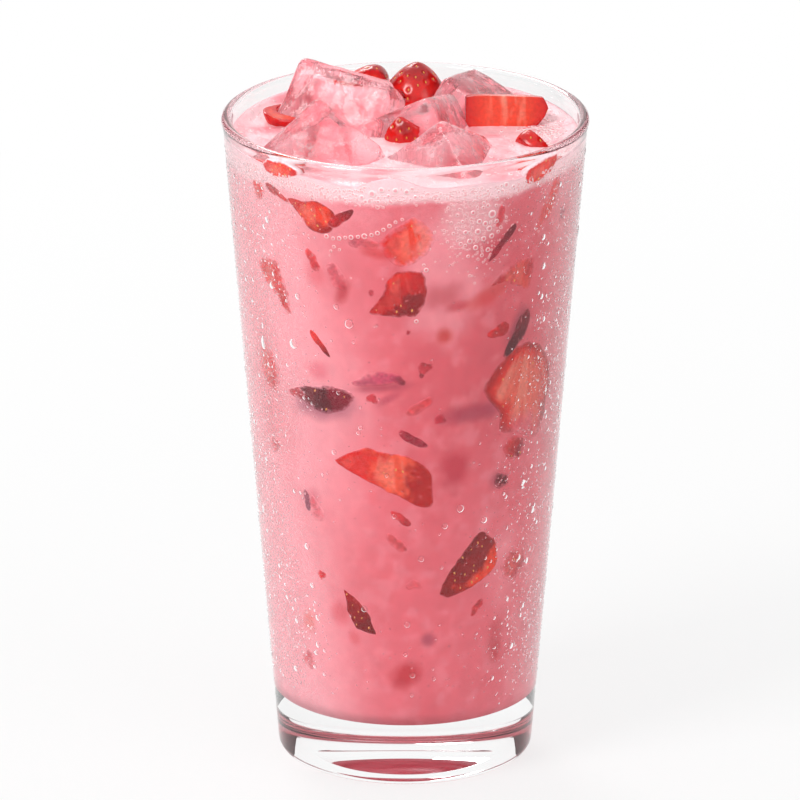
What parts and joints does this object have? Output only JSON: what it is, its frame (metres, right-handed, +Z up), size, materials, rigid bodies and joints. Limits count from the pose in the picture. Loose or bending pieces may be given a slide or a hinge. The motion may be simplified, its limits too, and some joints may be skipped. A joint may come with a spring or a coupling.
{
  "type": "strawberry coconut milk drink",
  "caption": "Tall heavy-based tumbler filled with a pink milky drink, with ice cubes and cut strawberries breaking its surface.",
  "frame": {"origin": "centre of the glass's foot, on the surface it stands on", "axes": "+Z up along the glass's axis, -Y towards the front, +X to the right seen from the front"},
  "size_m": [0.0884, 0.0884, 0.1698],
  "materials": {
    "glass": "clear pressed glass, fire-polished",
    "drink": "opaque pink milky liquid with froth",
    "ice": "melting ice, wet",
    "strawberry": "wet cut fruit"
  },
  "bodies": {
    "root": {"glass": "glass", "drink": "drink", "ice_tall": "ice", "ice_front_left": "ice", "ice_front_right": "ice", "ice_middle": "ice", "ice_back": "ice", "berry_tip": "strawberry", "berry_slice": "strawberry", "berry_wedge": "strawberry", "berry_left": "strawberry", "berry_back": "strawberry", "berry_right": "strawberry", "berry_near_left": "strawberry", "berry_near_right": "strawberry"}
  },
  "joints": []
}
